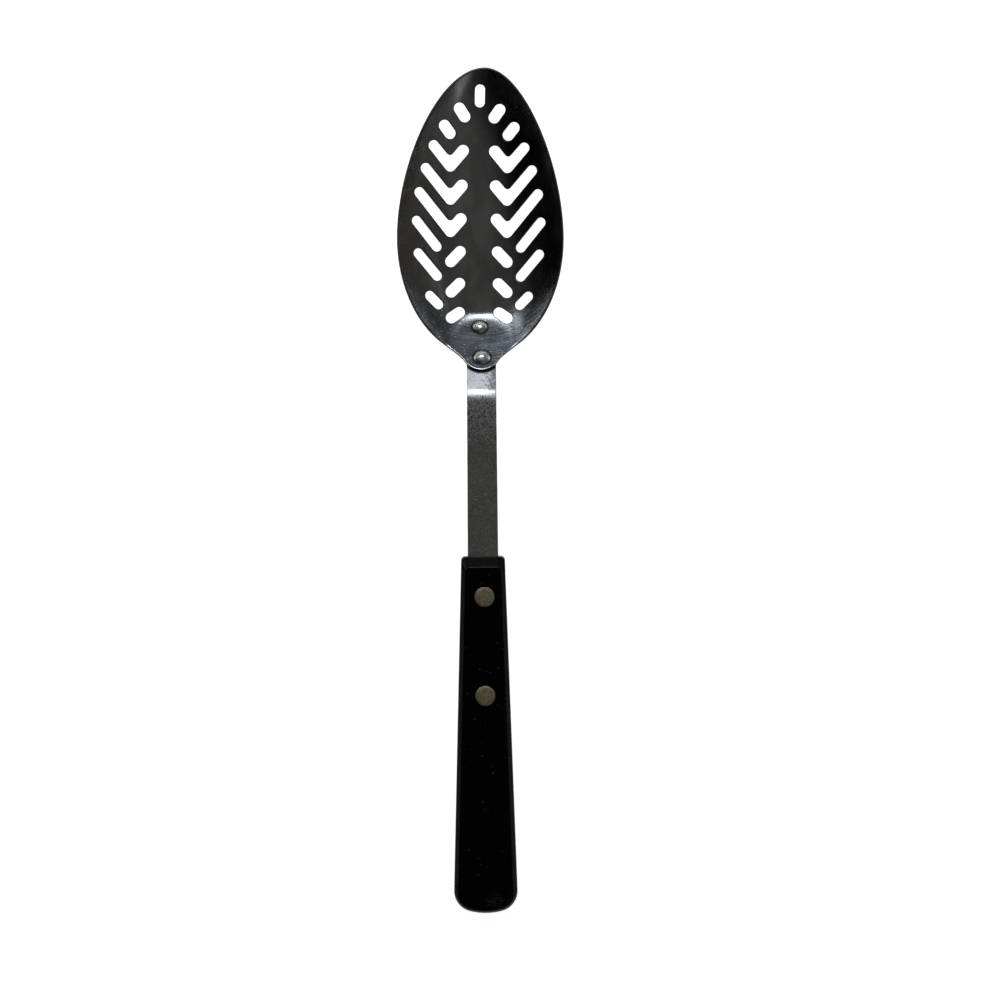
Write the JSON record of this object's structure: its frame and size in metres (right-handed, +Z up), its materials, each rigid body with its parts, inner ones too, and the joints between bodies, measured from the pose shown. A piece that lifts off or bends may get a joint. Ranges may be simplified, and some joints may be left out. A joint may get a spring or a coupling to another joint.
{
  "type": "slotted serving spoon",
  "caption": "Slotted serving spoon: a pierced steel bowl riveted to a bent flat shank, with a tapered black two-part handle on brass-toned rivets.",
  "frame": {"origin": "centre of the footprint's box, on the surface that the spoon rests on", "axes": "+Y towards the tip of the bowl, +Z up, out of the bowl's hollow side, +X to the right when the spoon is seen from above with its tip away from the viewer"},
  "size_m": [0.0596, 0.3006, 0.0229],
  "materials": {
    "bowl_steel": "polished once, now dulled by fine scratches and cloudy stains",
    "shank_steel": "satin, with fine scratches",
    "rivet_steel": "polished domes, slightly dented",
    "handle_black": "satin black, scuffed at the butt and along the edges",
    "handle_rivet": "dull, mottled"
  },
  "bodies": {
    "root": {"bowl": "bowl_steel", "shank": "shank_steel", "bowl_rivet_front": "rivet_steel", "bowl_rivet_rear": "rivet_steel", "handle_scale_front": "handle_black", "handle_scale_back": "handle_black", "rivet_front_tube": "handle_rivet", "rivet_front_pin": "handle_rivet", "rivet_rear_tube": "handle_rivet", "rivet_rear_pin": "handle_rivet"}
  },
  "joints": []
}
